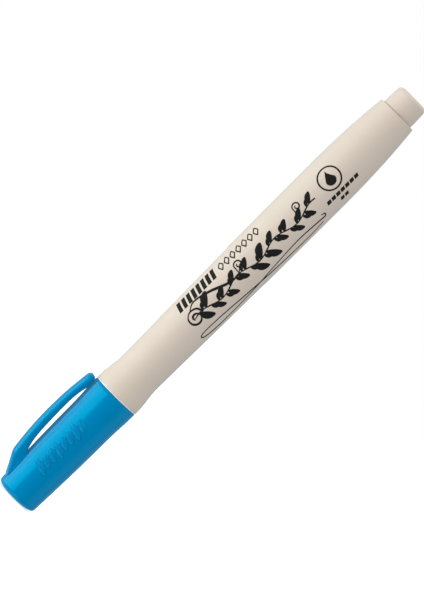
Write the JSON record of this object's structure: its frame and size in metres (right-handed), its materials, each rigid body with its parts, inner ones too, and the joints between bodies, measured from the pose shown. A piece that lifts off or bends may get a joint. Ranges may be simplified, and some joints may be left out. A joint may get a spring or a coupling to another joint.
{
  "type": "brush marker",
  "caption": "Capped brush marker with a long bowed pocket clip, a waisted barrel that swells and tapers to a stubby tail plug, a pull-off cap and a springy brush point inside.",
  "frame": {"origin": "the centre of the flat closed end of the cap, on the pen's axis, where the capped pen stands", "axes": "+Z runs along the pen from the closed end of the cap to the tail; -X points to the pocket clip; +Y completes the right-handed frame"},
  "size_m": [0.016, 0.013, 0.137],
  "materials": {
    "cap_blue": "semi-gloss moulded plastic",
    "barrel_ivory": "satin moulded plastic, warm off-white",
    "natural_plastic": "unpigmented, slightly cloudy",
    "inked_fibre": "felted fibre, wet with ink",
    "clear_film": "thin clear film"
  },
  "bodies": {
    "cap": {"cap_shell": "cap_blue"},
    "clip": {"pocket_clip": "cap_blue"},
    "liner": {"inner_cap": "natural_plastic"},
    "pen": {"barrel": "barrel_ivory", "tail_plug": "barrel_ivory", "nose_section": "barrel_ivory", "nib_collar": "natural_plastic", "feed_wick": "inked_fibre", "ink_reservoir": "inked_fibre", "reservoir_film": "clear_film"},
    "brush": {"brush_tip": "inked_fibre"}
  },
  "joints": [
    {"name": "clip_flex", "type": "hinge", "parent": "cap", "child": "clip", "pos_m": [-0.00734, 0, 0.0097], "axis": [0, -1, 0], "range_deg": [0, 5], "stiffness_Nm_per_rad": 1},
    {"name": "cap_turn", "type": "hinge", "parent": "cap", "child": "liner", "pos_m": [0, 0, 0.02], "axis": [0, 0, 1], "continuous": true},
    {"name": "pull_off", "type": "slide", "parent": "liner", "child": "pen", "axis": [0, 0, 1], "range_m": [0, 0.05]},
    {"name": "brush_flex", "type": "hinge", "parent": "pen", "child": "brush", "pos_m": [0, 0, 0.0158], "axis": [0, 1, 0], "range_deg": [-20, 20], "stiffness_Nm_per_rad": 0.005}
  ]
}
